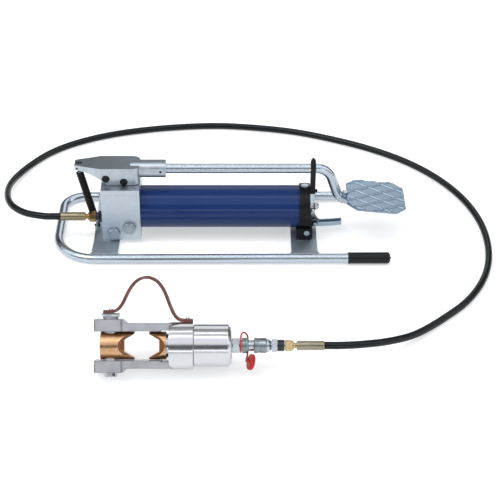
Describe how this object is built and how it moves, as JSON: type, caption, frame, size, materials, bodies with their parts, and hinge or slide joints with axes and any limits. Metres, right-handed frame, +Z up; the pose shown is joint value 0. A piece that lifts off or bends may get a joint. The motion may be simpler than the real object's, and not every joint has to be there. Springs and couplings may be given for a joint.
{
  "type": "hydraulic crimping tool",
  "caption": "Foot operated hydraulic pump on a tubular frame, joined by a long black hose to a crimping head with a fork, hexagon dies and a locking pin on a leather strap.",
  "frame": {"origin": "centre of the base of the pump's and head's common box, on the floor; the hose isn't counted", "axes": "+X along the pump from its outlet to its tread plate, +Y across, from the crimping head to the pump, +Z up"},
  "size_m": [1.0689, 0.968, 0.1875],
  "materials": {
    "zinc_tube": "bright zinc plate",
    "zinc_sheet": "pale blue zinc plate",
    "machined_aluminium": "satin, machined",
    "cast_aluminium": "satin, sand cast, grey on top",
    "bright_steel": "bright, turned",
    "head_steel": "satin nickel plate",
    "dark_steel": "blackened",
    "black_metal": "satin black",
    "blue_paint": "gloss, dark blue",
    "black_rubber": "satin moulded",
    "hose_rubber": "semi gloss smooth cover",
    "yellow_zinc": "yellow zinc plate",
    "brass": "bright turned",
    "die_bronze": "satin, warm brown bronze",
    "red_brown_leather": "smooth, two plies",
    "red_plastic": "gloss red",
    "seal_rubber": "matt"
  },
  "bodies": {
    "pump_and_head": {"base_frame": "zinc_tube", "front_bracket": "zinc_sheet", "rear_bracket": "zinc_sheet", "grip_near": "black_rubber", "grip_far": "black_rubber", "bracket_screws": "bright_steel", "pump_block": "machined_aluminium", "block_screws": "bright_steel", "valve_plugs": "bright_steel", "valve_balls": "bright_steel", "piston_gland": "machined_aluminium", "piston_seal": "seal_rubber", "reservoir_tube": "blue_paint", "reservoir_seals": "seal_rubber", "suction_strainer": "bright_steel", "tie_rod": "bright_steel", "end_cap": "black_metal", "foot_plugs": "bright_steel", "filler_plug": "bright_steel", "nut_washer": "brass", "dome_nut": "bright_steel", "strap_peg": "black_metal", "hold_down_strap": "black_rubber", "pedal_pin": "bright_steel", "pedal_spring": "bright_steel", "spring_anchor": "zinc_sheet", "return_spring": "dark_steel", "outlet_adapter": "dark_steel", "pump_hose_nut": "brass", "pump_ferrule": "yellow_zinc", "hose": "hose_rubber", "head_ferrule": "yellow_zinc", "head_hose_nut": "brass", "coupler_body": "head_steel", "coupler_nipple": "head_steel", "dust_cap": "red_plastic", "dust_cap_tether": "red_plastic", "cylinder_body": "head_steel", "yoke": "head_steel", "ram_spring": "dark_steel", "fixed_die": "die_bronze", "pin_strap": "red_brown_leather", "hub_rivets": "dark_steel"},
    "lever": {"lever_head": "cast_aluminium", "fulcrum_pin": "black_metal", "piston_pin": "black_metal", "lever_tube": "zinc_tube", "socket_screw": "dark_steel", "tread_plate": "zinc_sheet", "tread_bolt": "bright_steel", "spring_pin": "bright_steel"},
    "piston": {"pump_piston": "bright_steel"},
    "pedal": {"release_pedal": "zinc_sheet"},
    "plunger": {"release_plunger": "bright_steel"},
    "ram": {"ram": "bright_steel", "moving_die": "die_bronze"},
    "pin": {"locking_pin": "head_steel", "pin_rivets": "dark_steel"},
    "sleeve": {"coupler_sleeve": "head_steel"}
  },
  "joints": [
    {"name": "lever_pivot", "type": "hinge", "parent": "pump_and_head", "child": "lever", "pos_m": [-0.261, 0.195, 0.151], "axis": [0, -1, 0], "range_deg": [0, 35], "stiffness_Nm_per_rad": 4, "springref_deg": 34.95, "deforming": ["return_spring", "hold_down_strap"]},
    {"name": "piston_slide", "type": "slide", "parent": "pump_and_head", "child": "piston", "axis": [0, 0, 1], "range_m": [0, 0.0235]},
    {"name": "pedal_pivot", "type": "hinge", "parent": "pump_and_head", "child": "pedal", "pos_m": [0.186, 0.195, 0.027], "axis": [0, 1, 0], "range_deg": [0, 8], "stiffness_Nm_per_rad": 0.8, "springref_deg": -11.46, "deforming": ["pedal_spring"]},
    {"name": "plunger_slide", "type": "slide", "parent": "pump_and_head", "child": "plunger", "axis": [-1, 0, 0], "range_m": [0, 0.0015]},
    {"name": "ram_slide", "type": "slide", "parent": "pump_and_head", "child": "ram", "axis": [-1, 0, 0], "range_m": [0, 0.0284], "stiffness_N_per_m": 300, "springref_m": -0.01, "deforming": ["ram_spring"]},
    {"name": "pin_slide", "type": "slide", "parent": "pump_and_head", "child": "pin", "axis": [0, 0.5736, 0.8191], "range_m": [0, 0.112], "deforming": ["pin_strap"]},
    {"name": "sleeve_slide", "type": "slide", "parent": "pump_and_head", "child": "sleeve", "axis": [1, 0, 0], "range_m": [0, 0.005], "stiffness_N_per_m": 600, "springref_m": -0.003}
  ],
  "couplings": [
    {"joint": "piston_slide", "follows": "lever_pivot", "m_per_rad": 0.0379},
    {"joint": "plunger_slide", "follows": "pedal_pivot", "m_per_rad": 0.0095}
  ]
}
